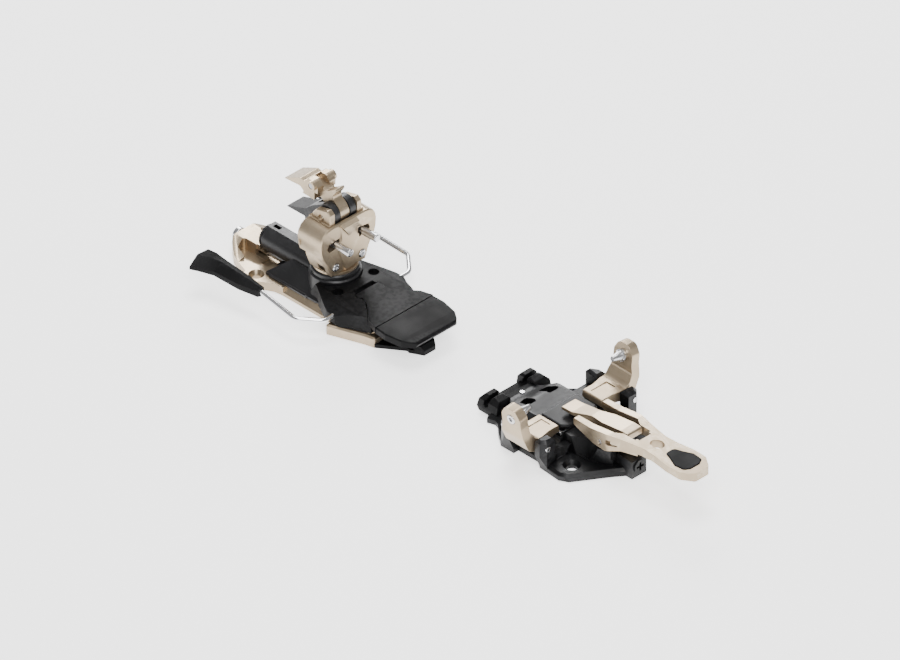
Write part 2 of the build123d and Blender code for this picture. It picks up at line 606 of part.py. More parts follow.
# stations of a paddle: x, then corners in Y and Z going round from the inner lower one
paddle_stations = [
    (-16.0, [(39.6, 14.6), (39.8, 18.4), (42, 19), (44.6, 17.8), (44.9, 14.2), (42.4, 13.4)]),
    (-28.0, [(39.2, 15.6), (39.0, 19.6), (42.6, 20.8), (47.8, 18.2), (48.2, 15.0), (43, 14.2)]),
    (-46.0, [(40.0, 18.8), (39.8, 22.0), (43.4, 22.4), (49.6, 18.8), (49.8, 16.2), (44.0, 16.4)]),
    (-53.5, [(40.2, 20.2), (40.0, 23.2), (44.6, 22.2), (53.6, 19.2), (53.8, 17.2), (46.0, 17.9)]),
    (-61.5, [(40.8, 20.6), (40.6, 22.8), (47.6, 21.8), (58.0, 19.6), (58.2, 17.8), (49.0, 20.0)]),
]


def brake_paddle():
    rings = [Plane.YZ.offset(x) * face_of(points) for x, points in paddle_stations]
    blade = loft(rings, ruled=True)
    blade -= plan([(-70, 30), (-57.0, 30), (-61.6, 47), (-57.4, 60), (-70, 60)], 0, 40)
    return blade


bore = FilletPolyline(wire_path, radius=wire_bends)
bore_ring = Plane(origin=bore @ 0, z_dir=bore % 0) * Circle(wire_r)
paddle = brake_paddle() - sweep(bore_ring, path=bore)
parts["brake_paddle_left"] = paddle
parts["brake_paddle_right"] = flip(paddle)
parts["brake_spring"] = solids_of([Pos(wire_x, y, wire_z) * Rot(-90, 0, 0) * coil(2.5, 0.6, 5.4, 4)
                                   for y in (-19.2, 13.8)])

# ---------------------------------------------------------------- toe base
def at_toe(shape):
    return Pos(toe_x, 0, 0) * shape


def toe_base():
    nose_x = boss_front - toe_x
    outline = both([(-48, 9), (-44, 20), (-41, 24.6), (-36, 23), (-33, 24), (-27.2, 29.4), (-20, 34.6), (-9.8, 34.6),
                    (-9.8, 31), (9.8, 31), (9.8, 34), (25.8, 35.2), (31.2, 32.4), (44.3, 12), (49, boss_half),
                    (nose_x, boss_half)])
    plate = plan(outline, 0, toe_plate)
    plate = chamfer(plate.edges().group_by(Axis.Z)[-1], 1.6)
    # middle deck, sloping down to the rear
    deck = front(both_front([(22, 3), (15.4, toe_deck)]), -40, 10)
    deck &= side([(-40, 0), (-40, 9.4), (-34.5, 10.4), (-24, toe_deck), (10, toe_deck), (10, 0)], -40, 40)
    deck &= plan(both([(-40, 10), (-33, 12.6), (-23, 19), (-17, 23), (10, 23)]), 0, 30)
    # nose with side walls around the lever's channel
    nose = side([(9, toe_deck), (14, toe_deck), (30, toe_deck - 3.2), (43, 11.6), (nose_x, 11.2),
                 (nose_x, 0), (9, 0)], -boss_half - 0.01, boss_half)
    walls = front(both_front([(15.8, 0), (14.4, toe_deck - 1)]), 9, 41)
    walls &= plan(both([(9, 18), (26, 16), (38, 10.4), (41, 8)]), 0, 30)
    body = plate + deck + walls
    # blocks that hold the wing hinges
    rear_block = plan([(-20, 31.5), (-10, 30), (-10, 37.6), (-14.5, 37.6), (-20, 34.2)], 0, 19.6)
    fore_block = plan([(9.8, 28.6), (16.6, 28.6), (16.6, 35), (13.6, 37.8), (9.8, 37.8)], 0, 21.2)
    lean = front([(0, 0), (33.6, 0), (38, 11), (38, 30), (0, 30)], -30, 30)
    blocks = chamfer(rear_block.edges().group_by(Axis.Z)[-1], 1.7) + chamfer(fore_block.edges().group_by(Axis.Z)[-1], 1.7)
    ribs = plan([(-19, 18), (-10, 18), (-10, 33), (-19, 33)], 0, 10.2) + plan([(9.8, 14), (15.6, 14), (16.6, 32),
                                                                              (9.8, 32)], 0, 9.6)
    body += pair((blocks & lean) + ribs)
    lugs = block(30.5, 41.5, lug_half_in, lug_half_out, 8, lever_z + 3.2)
    lugs = fillet(lugs.edges().filter_by(Axis.Y).group_by(Axis.Z)[-1], 2.6)
    body += pair(lugs) + nose
    # trough where the wings lie, and the pit for the closing springs
    trough = block(-9.8, 9.8, 15.5, 60, 10.6, 60)
    body -= pair(trough)
    body -= block(-8.6, 8.6, -15.6, 15.6, 6.2, 60)
    body -= block(-9.8, 9.8, -15.6, 15.6, cover_top - cover_thick, 60)
    body -= pair(plan([(-9.8, 30.9), (9.8, 30.9), (9.8, 60), (-9.8, 60)], -1, 60))
    # open channel for the tongue ahead of the cover
    body -= block(9.7, 41.6, -lug_half_in, lug_half_in, toe_deck - 4.2, 60)
    body -= block(41.5, 46, -lug_half_out - 2, lug_half_out + 2, 12.6, 60)
    # pockets in the deck on each side of the middle rib, and a bowl around each front screw
    pocket = plan([(-31, 4.5), (-21.5, 5.0), (-21.5, 13), (-29, 11)], 5, 60, radius=1.5)
    body -= pair(pocket)
    bowl = Pos(bolt_x + 0.5, bolt_y, toe_plate + 5.4) * Cone(10.4, 14.6, 10)
    body -= pair(bowl - block(9, 17, 27, 50, 0, 60))
    for x in (-bolt_x, bolt_x):
        hole = rod_z(-1, 60, x, bolt_y, bolt_hole)
        sink = Pos(x, bolt_y, toe_plate - 1.2) * Cone(bolt_hole, bolt_sink, 2.6)
        body -= pair(hole + sink + rod_z(toe_plate - 0.001, 60, x, bolt_y, bolt_sink))
    # hinge pins, lever axle, screw of the boss
    body -= pair(rod_x(-18.8, 20, hinge_y, hinge_z, hinge_r))
    body -= rod_y(-20, 20, lever_x - toe_x, lever_z, lever_axle_r)
    body -= rod_x(46, 60, 0, 6.6, 2.6)
    return at_toe(body)


parts["toe_base"] = toe_base()
cover = plan(both([(-9.6, cover_half - 0.6), (-8.4, cover_half), (6, cover_half), (9.7, 10.4)]),
             cover_top - cover_thick, cover_top)
cover = chamfer(cover.edges().group_by(Axis.Z)[-1], 0.7)
parts["toe_cover"] = at_toe(cover)


def crampon_socket():
    bar = block(-42.2, -37.2, -10.6, 10.6, 5.2, 9.6)
    foot = block(-50.2, -38.4, -10.6, 10.6, 2.0, 6.6)
    body = bar + foot
    hook = side([(-51.4, 1.6), (-52.4, 5), (-51.6, 9.6), (-49.6, 12.2), (-46.4, 12.2), (-46.4, 10.2), (-47.4, 9.8),
                 (-47.4, 7.0), (-46, 6.0), (-44.0, 7.0), (-44.0, 11.6), (-42.6, 12.4), (-38.2, 11.6), (-36.8, 9),
                 (-36.8, 1.6)], 9.6, 21.4)
    hook &= front([(9.6, 1), (9.6, 11.2), (11.2, 12.6), (16.8, 12.6), (20.4, 9.6), (21.4, 5), (20.6, 1)], -60, -30)
    body += pair(hook)
    body -= rod_z(0, 30, -38, 0, 1.5)
    return at_toe(body)


socket = crampon_socket()
parts["toe_base"] -= socket
parts["crampon_socket"] = socket - at_toe(block(-36.4, 0, -60, 60, 0, 60))
parts["toe_base"] -= at_toe(rod_z(2.2, 30, -38, 0, 1.5))
parts["crampon_screw"] = at_toe(rod_z(2.2, 10.4, -38, 0, 1.5))

# ---------------------------------------------------------------- wings
pin_mid = toe_pin_gap + toe_pin_len


def wing():
    """Left wing when closed, with a level pin axis."""
    y_in = wing_wall_in
    y_out = wing_wall_in + wing_wall
    profile = [(wing_in, 12.6), (wing_in, 17.0), (26, 18.0), (y_in - 3.2, 19.4), (y_in, 26), (y_in, 42.6),
               (y_out, 42.6), (y_out, 24), (y_out - 3.0, 14.6), (y_out - 8, 11.6), (28, 12.0)]
    body = front(profile, -wing_half + 0.2, wing_half - 0.2, radius=[0.5, 0.8, 8, 5, 4, 0, 0, 12, 5, 8, 8])
    arch = side([(-wing_half, 5), (wing_half, 5), (wing_half, 22), (7.2, 31), (7.2, 37), (4, 42.4), (-4, 42.4),
                 (-7.2, 37), (-7.2, 31), (-wing_half, 22)], 0, 60, radius=[0, 0, 8, 8, 3.5, 4, 4, 3.5, 8, 8])
    body &= arch
    inner = plan([(-7.4, 15), (7.4, 15), (7.4, 24), (wing_half, 32), (wing_half, 60), (-wing_half, 60),
                  (-wing_half, 32), (-7.4, 24)], 0, 60)
    body &= inner
    # shallow channel along the level part, and a groove on the outside
    body -= Pos(0, 25, 18.6) * Rot(6, 0, 0) * Box(7.2, 12, 2.2)
    body -= rod_x(-20, 20, hinge_y, hinge_z, hinge_r + run)
    body -= rod_y(0, 60, 0, toe_pin_z, 1.9)
    body -= rod_y(y_out - 1.5, 60, 0, toe_pin_z, 3.1)
    return body


def open_wing(shape):
    """Turn a piece of the left wing to where it stands open."""
    return at_toe(Pos(0, hinge_y, hinge_z) * Rot(-wing_open, 0, 0) * Pos(0, -hinge_y, -hinge_z) * shape)


def toe_pin():
    tip = toe_pin_gap
    cone = Pos(0, tip + 3.0, toe_pin_z) * Rot(-90, 0, 0) * Cone(1.5, 3.0, 6.0)
    collar = rod_y(tip + 6.0, wing_wall_in, 0, toe_pin_z, 3.7)
    shank = rod_y(wing_wall_in - 0.1, wing_wall_in + wing_wall - 1.9, 0, toe_pin_z, 1.9)
    pin = cone + collar + shank
    for turn in range(6):
        flute = Pos(0, tip + 2.6, toe_pin_z) * Rot(0, 60 * turn, 0) * Pos(3.4, 0, 0) * Rot(90, 0, 6) * Cylinder(1.1, 8)
        pin -= flute
    return pin - rod_y(wing_wall_in - 1, 60, 0, toe_pin_z, 1.05)


def toe_pin_screw():
    face = wing_wall_in + wing_wall
    head = rod_y(face - 1.5, face + 0.4, 0, toe_pin_z, 3.0)
    head = chamfer(head.edges().group_by(Axis.Y)[-1], 0.4)
    star = Pos(0, face - 1.1, toe_pin_z) * Rot(-90, 0, 0) * extrude(RegularPolygon(1.5, 6), 3)
    return head + rod_y(wing_wall_in + 0.4, face - 1.5, 0, toe_pin_z, 1.05) - star


for name, shape in (("wing", wing()), ("toe_pin", toe_pin()), ("toe_pin_screw", toe_pin_screw())):
    left = open_wing(shape)
    parts[name + "_left"] = left
    parts[name + "_right"] = flip(left)
hinge_pin = rod_x(-18.8, 16.9, hinge_y, hinge_z, hinge_r)
parts["wing_hinge_pins"] = solids_of([at_toe(hinge_pin), flip(at_toe(hinge_pin))])

# closing springs on their guide rods, across the pit below the cover
springs = []
rods = []
for x in (-4.6, 4.6):
    springs.append(Pos(toe_x + x, -11.2, 10.2) * Rot(-90, 0, 0) * coil(2.4, 0.7, 22.4, 9))
    rods.append(rod_y(-14.8, 14.8, toe_x + x, 10.2, 1.4)
                + rod_y(12.6, 14.8, toe_x + x, 10.2, 3.2) + rod_y(-14.8, -12.6, toe_x + x, 10.2, 3.2))
parts["toe_springs"] = solids_of(springs)
parts["toe_spring_rods"] = solids_of(rods)

# ---------------------------------------------------------------- toe lever
tongue_rear = toe_x - 2.0
tongue_front = lever_x + 14.3
web_x = lever_x + 20.4
parts["lever_axle"] = rod_y(-arm_out + 0.6, arm_out - 0.6, lever_x, lever_z, lever_axle_r)


def lever_tongue():
    body = side([(tongue_rear, 21.2), (tongue_rear + 8, 21.6), (tongue_rear + 22, 25.2), (tongue_front - 6, lever_top),
                 (tongue_front, lever_top), (tongue_front, lever_top - 4), (lever_x + 6, lever_z - 2.6),
                 (lever_x, lever_z - 4), (lever_x - 5, lever_z - 1.4), (tongue_rear + 20, 20.6),
                 (tongue_rear + 8, 19.4), (tongue_rear, 19.3)], -10, 10,
                radius=[0.6, 6, 20, 6, 1, 1, 2, 3, 2, 8, 8, 0.6])
    body &= plan(both([(tongue_rear, 5.2), (tongue_rear + 9, 5.4), (lever_x - 16, 3.6), (lever_x - 6, tongue_half),
                       (tongue_front, tongue_half)]), 0, 60)
    return body - rod_y(-20, 20, lever_x, lever_z, lever_axle_r + run)


def toe_lever():
    top = lever_top
    arms = side([(toe_x + 14.4, 24.6), (toe_x + 15.6, 26.2), (toe_x + 28, 26.4), (web_x - 14, top), (web_x + 8, top),
                 (web_x + 8, top - 6.4), (web_x - 6, top - 8), (lever_x + 4, lever_z - 3.8), (lever_x - 5, lever_z - 3.2),
                 (toe_x + 14.4, 22.0)], arm_in, arm_out, radius=[0.8, 1, 10, 10, 0, 0, 4, 3, 3, 0.8])
    window = side([(lever_x + 4.6, 21.0), (lever_x + 12.4, 22.2), (lever_x + 12.4, 25.2), (lever_x + 4.6, 24.4)],
                  0, 20, radius=1.3)
    arms -= window
    # outline of the whole lever in plan, and the slab of its head
    outline = both([(toe_x + 14, 11.6), (toe_x + 15, 13.0), (toe_x + 30, arm_out), (lever_x + 6, arm_out),
                    (web_x - 5, arm_out - 2.4), (web_x + 9, 8.6), (web_x + 18, 9.0), (lever_tip - 17, 10.7),
                    (lever_tip - 7.4, 10.5), (lever_tip, 5.2)])
    half = [0.4, 2, 20, 12, 14, 12, 8, 6, 4, 2.4]
    body = pair(arms) + block(lever_x + 8, lever_tip + 1, -20, 20, top - 5.4, top)
    body &= plan(outline, 0, 60, radius=half + half[::-1])
    body -= plan(both([(toe_x, arm_in - 0.01), (lever_x + 7, arm_in - 0.01), (lever_x + 12, tongue_half + 0.7),
                       (web_x, tongue_half + 0.7)]), 0, 60)
    body -= block(web_x - 2, web_x + 2.0, -4.6, 4.6, 0, 60)
    eye = extrude(Plane.XY.offset(top - 10) * Pos(web_x + 11.3, 0) * Ellipse(4.6, 3.6), amount=20)
    body -= eye
    # scallop under the head and a bevel along its upper edge
    body -= side([(web_x + 6, 0), (web_x + 10, top - 5.0), (lever_tip - 14, top - 4.6), (lever_tip + 4, top - 5.6),
                  (lever_tip + 4, 0)], -30, 30, radius=[0, 6, 10, 0, 0])
    body -= lever_pad_shape(top - 1.4, top + 1)
    return body - rod_y(-20, 20, lever_x, lever_z, lever_axle_r + run)


def lever_pad_shape(z0, z1):
    x0 = lever_tip - 25.4
    return plan(both([(x0, 3.2), (x0 + 5.2, 5.0), (x0 + 11.4, 7.8), (x0 + 18, 7.2), (x0 + 20.2, 3.6)]), z0, z1,
                radius=[2.4, 4, 3, 2.4, 2, 2, 2.4, 3, 4, 2.4])


parts["lever_tongue"] = lever_tongue()
parts["toe_lever"] = toe_lever()
pad = lever_pad_shape(lever_top - 1.4, lever_top + 0.5)
parts["lever_pad"] = chamfer(pad.faces().sort_by(Axis.Z)[-1].edges(), 0.35)

screw = rod_x(46.2, boss_front - toe_x + 0.8, 0, 6.6, 2.6 - run) + rod_x(boss_front - toe_x, boss_front - toe_x + 0.9,
                                                                      0, 6.6, 4.2)
cross = (block(boss_front - toe_x - 0.8, 60, -0.7, 0.7, 3.9, 9.3) + block(boss_front - toe_x - 0.8, 60, -2.7, 2.7, 5.9, 7.3))
parts["boss_screw"] = at_toe(screw - cross)

for name, shape in parts.items():
    print(name, round(shape.volume), len(shape.solids()), flush=True)
    export_step(shape, "parts/" + name + ".step")
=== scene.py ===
import json
import math

import bmesh
import bpy
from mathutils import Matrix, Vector


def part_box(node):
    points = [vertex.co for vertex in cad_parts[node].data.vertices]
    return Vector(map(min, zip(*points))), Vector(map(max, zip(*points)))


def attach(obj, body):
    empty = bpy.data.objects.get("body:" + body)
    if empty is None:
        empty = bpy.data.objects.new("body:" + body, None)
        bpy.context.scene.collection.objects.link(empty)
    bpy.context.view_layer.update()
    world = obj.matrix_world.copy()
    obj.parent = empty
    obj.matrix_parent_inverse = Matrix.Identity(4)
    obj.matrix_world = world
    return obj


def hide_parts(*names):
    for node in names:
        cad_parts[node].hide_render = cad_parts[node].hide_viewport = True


bl_info = {
    "name": "Touring binding looks",
    "version": (1, 0, 0),
    "blender": (4, 5, 0),
    "location": "View3D > Sidebar > Binding",
    "description": "Finishes, small parts and stage for a touring ski binding",
    "category": "Object",
}

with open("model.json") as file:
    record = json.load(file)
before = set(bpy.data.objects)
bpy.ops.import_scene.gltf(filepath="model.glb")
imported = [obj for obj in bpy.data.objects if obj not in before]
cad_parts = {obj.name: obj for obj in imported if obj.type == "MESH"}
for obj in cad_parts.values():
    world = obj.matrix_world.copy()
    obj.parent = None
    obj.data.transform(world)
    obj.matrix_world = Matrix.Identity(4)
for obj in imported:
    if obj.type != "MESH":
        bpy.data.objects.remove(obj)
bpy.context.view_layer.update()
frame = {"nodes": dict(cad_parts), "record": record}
MM = 0.001
SCREW_SHAFT = 1.9 * MM         # radius of the adjusting screw's shaft
THREAD_FROM_HEAD = 9 * MM      # the thread starts this far ahead of the head's rear face
THREAD_TO_TIP = 6 * MM         # and ends at least this far before the shaft's tip
RIDGE_HEIGHT = 0.18 * MM       # how far each ridge of the thread stands out of the shaft
JOIN_DISTANCE = 2e-6           # corners of CAD triangles nearer than this are one corner
SLIVER_LENGTH = 4e-6           # edges shorter than this are closed up
FLAT_ANGLE = 0.6               # degrees between faces that count as one flat face
WIRE_SMOOTH = 60.0             # degrees up to which wires and coils are shaded as one round face
WIDE_EDGE = 1.3                # the turret's and the wings' edges, as a multiple of the metal edge
LEVER_EDGE = 1.2               # the lever's and its tongue's edges, as a multiple of the metal edge
SOCKET_EDGE = 0.8              # the crampon socket's edge, as a share of the plastic edge
THUMB_PAD_EDGE = 0.5           # the thumb pad's edge, as a share of the plastic edge
PATCH_SHIFT = 0.12             # how far slow patches shift the roughness either way, as a share
MIX_COLOUR = (6, 7, 2)         # a Mix node's sockets A, B and Result when it mixes colours
MIX_NUMBER = (2, 3, 0)         # and when it mixes numbers
FLOOR_REACH = 14.0             # half the floor's side, in metres
FLOOR_LEVEL = -0.4 * MM        # the floor lies just below the plates' undersides
VIEW_TARGET = (0.0775, 0.0133, 0.010)
VIEW_DIRECTION = (0.8165 * 0.7120, -0.8165 * 0.7022, 0.5774)    # 35.3 degrees up, 44.6 right of the tip
VIEW_DISTANCE = 13.89          # metres, so far off that the view is nearly parallel
VIEW_LENS = 1000.0             # millimetres
LAMPS = (                      # name, place in metres, side in metres, power in watts
    ("Key light", (0.9, -0.75, 1.3), 0.8, 20.0),
    ("Top light", (-0.1, 0.2, 1.7), 0.9, 24.0),
    ("Rim light", (-1.0, 0.9, 0.8), 0.6, 16.0),
)
SLOT_OF = {entry["node"]: entry["material_slot"] for entry in frame["record"]["subparts"]}
BODY_OF = {node: body for body, nodes in frame["record"]["behaviour"]["bodies"].items() for node in nodes}


# ------------------------------------------------------------------ settings
class BindingSizes(bpy.types.PropertyGroup):
    """Sizes of the finish: how wide edges are broken and how the small parts repeat."""

    metal_edge: bpy.props.FloatProperty(
        name="Metal edge", description="Width of the broken edge on machined pieces",
        default=0.45 * MM, min=0.0, unit="LENGTH", subtype="DISTANCE", precision=5)
    plastic_edge: bpy.props.FloatProperty(
        name="Plastic edge", description="Width of the rounded edge on moulded pieces",
        default=0.4 * MM, min=0.0, unit="LENGTH", subtype="DISTANCE", precision=5)
    small_edge: bpy.props.FloatProperty(
        name="Small edge", description="Width of the broken edge on pins, axles and screws",
        default=0.18 * MM, min=0.0, unit="LENGTH", subtype="DISTANCE", precision=5)
    thread_pitch: bpy.props.FloatProperty(
        name="Thread pitch", description="Pitch of the adjusting screw's thread",
        default=1.25 * MM, min=0.2 * MM, unit="LENGTH", subtype="DISTANCE", precision=5)
    thread_depth: bpy.props.FloatProperty(
        name="Thread depth", description="How deep the middle of each ridge lies inside the shaft",
        default=0.22 * MM, min=0.0, unit="LENGTH", subtype="DISTANCE", precision=5)


def colour(name, description, default):
    return bpy.props.FloatVectorProperty(
        name=name, description=description, default=default, size=4, min=0.0, max=1.0, subtype="COLOR")


class BindingColours(bpy.types.PropertyGroup):
    """Base colours of the binding's finishes."""

    sand: colour("Sand", "Anodised light metal", (0.41, 0.325, 0.225, 1.0))
    sand_worn: colour("Sand, worn", "The same metal where its edges are rubbed", (0.62, 0.54, 0.42, 1.0))
    graphite: colour("Graphite", "Dark anodised metal", (0.012, 0.012, 0.013, 1.0))
    graphite_worn: colour("Graphite, worn", "Dark metal on rubbed edges", (0.07, 0.07, 0.074, 1.0))
    black: colour("Black metal", "Black anodised metal of the toe unit", (0.0045, 0.0045, 0.005, 1.0))
    black_worn: colour("Black metal, worn", "Black metal on rubbed edges", (0.024, 0.024, 0.026, 1.0))
    plastic: colour("Black plastic", "Moulded plastic", (0.0035, 0.0035, 0.0038, 1.0))
    plastic_worn: colour("Black plastic, worn", "Plastic on rubbed edges", (0.016, 0.016, 0.017, 1.0))
    steel: colour("Steel", "Turned steel", (0.60, 0.60, 0.61, 1.0))
    wire: colour("Wire", "Polished steel wire", (0.82, 0.82, 0.83, 1.0))
    spring: colour("Spring", "Dark spring steel", (0.30, 0.30, 0.31, 1.0))
    bronze: colour("Bronze", "Plain bearings and nut", (0.52, 0.36, 0.15, 1.0))
    floor: colour("Floor", "Pale floor of the stage", (0.95, 0.95, 0.95, 1.0))


# ------------------------------------------------------------------ shader groups
def new_group(name, inputs, outputs):
    group = bpy.data.node_groups.new(name, "ShaderNodeTree")
    for label, kind, default in inputs:
        socket = group.interface.new_socket(label, in_out="INPUT", socket_type=kind)
        socket.default_value = default
    for label, kind in outputs:
        group.interface.new_socket(label, in_out="OUTPUT", socket_type=kind)
    source = group.nodes.new("NodeGroupInput")
    sink = group.nodes.new("NodeGroupOutput")
    return group, source, sink


def math_node(group, operation, a, b=None, clamp=False):
    node = group.nodes.new("ShaderNodeMath")
    node.operation = operation
    node.use_clamp = clamp
    for slot, value in enumerate((a, b)):
        if value is None:
            continue
        if isinstance(value, (int, float)):
            node.inputs[slot].default_value = value
        else:
            group.links.new(value, node.inputs[slot])
    return node.outputs[0]


def ramp_node(group, value, low, high):
    node = group.nodes.new("ShaderNodeMapRange")
    node.interpolation_type = "SMOOTHSTEP"
    node.inputs["From Min"].default_value = low
    node.inputs["From Max"].default_value = high
    group.links.new(value, node.inputs["Value"])
    return node.outputs["Result"]


def grain_group():
    """Fine blasted or moulded grain, with slow patches and a few hairline scratches."""
    group, source, sink = new_group(
        "Surface grain",
        [("Grain Scale", "NodeSocketFloat", 2600.0), ("Patch Scale", "NodeSocketFloat", 60.0),
         ("Scratches", "NodeSocketFloat", 0.3)],
        [("Height", "NodeSocketFloat"), ("Patches", "NodeSocketFloat"), ("Scratch Mask", "NodeSocketFloat")])
    coords = group.nodes.new("ShaderNodeTexCoord")
    fine = group.nodes.new("ShaderNodeTexNoise")
    fine.inputs["Detail"].default_value = 3.0
    fine.inputs["Roughness"].default_value = 0.6
    slow = group.nodes.new("ShaderNodeTexNoise")
    slow.inputs["Detail"].default_value = 4.0
    group.links.new(coords.outputs["Object"], fine.inputs["Vector"])
    group.links.new(coords.outputs["Object"], slow.inputs["Vector"])
    group.links.new(source.outputs["Grain Scale"], fine.inputs["Scale"])
    group.links.new(source.outputs["Patch Scale"], slow.inputs["Scale"])
    stretch = group.nodes.new("ShaderNodeMapping")
    stretch.inputs["Scale"].default_value = (18.0, 420.0, 300.0)
    stretch.inputs["Rotation"].default_value = (0.3, 0.5, 0.4)
    lines = group.nodes.new("ShaderNodeTexNoise")
    lines.inputs["Scale"].default_value = 3.0
    lines.inputs["Detail"].default_value = 2.0
    group.links.new(coords.outputs["Object"], stretch.inputs["Vector"])
    group.links.new(stretch.outputs["Vector"], lines.inputs["Vector"])
    mask = ramp_node(group, lines.outputs["Fac"], 0.66, 0.74)
    mask = math_node(group, "MULTIPLY", mask, source.outputs["Scratches"])
    height = math_node(group, "SUBTRACT", fine.outputs["Fac"], mask)
    group.links.new(height, sink.inputs["Height"])
    group.links.new(ramp_node(group, slow.outputs["Fac"], 0.3, 0.7), sink.inputs["Patches"])
    group.links.new(mask, sink.inputs["Scratch Mask"])
    return group


def wear_group():
    """Mask of rubbed outer edges, broken up by noise."""
    group, source, sink = new_group(
        "Edge wear", [("Amount", "NodeSocketFloat", 0.5), ("Break Scale", "NodeSocketFloat", 400.0)],
        [("Mask", "NodeSocketFloat")])
    geometry = group.nodes.new("ShaderNodeNewGeometry")
    coords = group.nodes.new("ShaderNodeTexCoord")
    noise = group.nodes.new("ShaderNodeTexNoise")
    noise.inputs["Detail"].default_value = 4.0
    group.links.new(coords.outputs["Object"], noise.inputs["Vector"])
    group.links.new(source.outputs["Break Scale"], noise.inputs["Scale"])
    edge = ramp_node(group, geometry.outputs["Pointiness"], 0.51, 0.60)
    broken = ramp_node(group, noise.outputs["Fac"], 0.32, 0.60)
    mask = math_node(group, "MULTIPLY", edge, broken)
    mask = math_node(group, "MULTIPLY", mask, source.outputs["Amount"], clamp=True)
    group.links.new(mask, sink.inputs["Mask"])
    return group


SHADER_GROUPS = {}


def shared_groups():
    if not SHADER_GROUPS:
        SHADER_GROUPS["grain"] = grain_group()
        SHADER_GROUPS["wear"] = wear_group()
    return SHADER_GROUPS


def finish(name, base, worn, metallic, rough, rough_worn, grain, bump, wear, scratches, tint=0.10, gloss=0.5):
    """One surface: base colour with patches, grain and worn edges."""
    groups = shared_groups()
    material = bpy.data.materials.new(name)
    material.use_nodes = True
    material.diffuse_color = tuple(base)
    tree = material.node_tree
    shader = tree.nodes["Principled BSDF"]
    shader.inputs["Metallic"].default_value = metallic
    shader.inputs["Specular IOR Level"].default_value = gloss

    def group_node(key, **values):
        node = tree.nodes.new("ShaderNodeGroup")
        node.node_tree = groups[key]
        for label, value in values.items():
            node.inputs[label.replace("_", " ")].default_value = value
        return node

    surface = group_node("grain", Grain_Scale=grain, Scratches=scratches)
    edges = group_node("wear", Amount=wear)

    def blend_colour(factor, a, b):
        node = tree.nodes.new("ShaderNodeMix")
        node.data_type = "RGBA"
        tree.links.new(factor, node.inputs["Factor"])
        first, second, result = MIX_COLOUR
        for slot, value in ((first, a), (second, b)):
            if isinstance(value, tuple):
                node.inputs[slot].default_value = value
            else:
                tree.links.new(value, node.inputs[slot])
        return node.outputs[result]

    deep = tuple([c * (1.0 - tint) for c in base[:3]] + [1.0])
    light = tuple([min(1.0, c * (1.0 + tint)) for c in base[:3]] + [1.0])
    shade = blend_colour(surface.outputs["Patches"], deep, light)
    shade = blend_colour(surface.outputs["Scratch Mask"], shade, tuple(worn))
    shade = blend_colour(edges.outputs["Mask"], shade, tuple(worn))
    tree.links.new(shade, shader.inputs["Base Color"])
    level = tree.nodes.new("ShaderNodeMapRange")
    level.inputs["To Min"].default_value = rough * (1.0 - PATCH_SHIFT)
    level.inputs["To Max"].default_value = rough * (1.0 + PATCH_SHIFT)
    tree.links.new(surface.outputs["Patches"], level.inputs["Value"])
    first, second, result = MIX_NUMBER
    rub = tree.nodes.new("ShaderNodeMix")
    tree.links.new(edges.outputs["Mask"], rub.inputs["Factor"])
    tree.links.new(level.outputs["Result"], rub.inputs[first])
    rub.inputs[second].default_value = rough_worn
    tree.links.new(rub.outputs[result], shader.inputs["Roughness"])
    relief = tree.nodes.new("ShaderNodeBump")
    relief.inputs["Strength"].default_value = bump
    relief.inputs["Distance"].default_value = 0.1 * MM
    tree.links.new(surface.outputs["Height"], relief.inputs["Height"])
    tree.links.new(relief.outputs["Normal"], shader.inputs["Normal"])
    return material


FINISHES = {}


def finishes():
    if FINISHES:
        return FINISHES
    c = bpy.context.scene.binding_colours
    FINISHES["sand_metal"] = finish(
        "Sand anodised metal", c.sand, c.sand_worn, metallic=0.85, rough=0.33, rough_worn=0.25,
        grain=3200.0, bump=0.10, wear=0.35, scratches=0.08)
    FINISHES["graphite_metal"] = finish(
        "Graphite anodised metal", c.graphite, c.graphite_worn, metallic=0.30, rough=0.38, rough_worn=0.30,
        grain=3000.0, bump=0.10, wear=0.6, scratches=0.08)
    FINISHES["black_metal"] = finish(
        "Black anodised metal", c.black, c.black_worn, metallic=0.15, rough=0.38, rough_worn=0.30,
        grain=3000.0, bump=0.10, wear=0.6, scratches=0.03, gloss=0.24)
    FINISHES["black_plastic"] = finish(
        "Moulded black plastic", c.plastic, c.plastic_worn, metallic=0.0, rough=0.52, rough_worn=0.42,
        grain=1800.0, bump=0.22, wear=0.45, scratches=0.0, gloss=0.11, tint=0.05)
    FINISHES["steel"] = finish(
        "Turned steel", c.steel, c.wire, metallic=1.0, rough=0.27, rough_worn=0.18,
        grain=4200.0, bump=0.06, wear=0.5, scratches=0.25, tint=0.05)
    FINISHES["bright_wire"] = finish(
        "Polished wire", c.wire, c.wire, metallic=1.0, rough=0.13, rough_worn=0.12,
        grain=2400.0, bump=0.02, wear=0.0, scratches=0.15, tint=0.03)
    FINISHES["spring_steel"] = finish(
        "Spring steel", c.spring, c.steel, metallic=1.0, rough=0.33, rough_worn=0.22,
        grain=3600.0, bump=0.06, wear=0.4, scratches=0.15, tint=0.06)
    FINISHES["bronze"] = finish(
        "Bearing bronze", c.bronze, c.bronze, metallic=1.0, rough=0.34, rough_worn=0.26,
        grain=3600.0, bump=0.06, wear=0.3, scratches=0.15, tint=0.08)
    return FINISHES


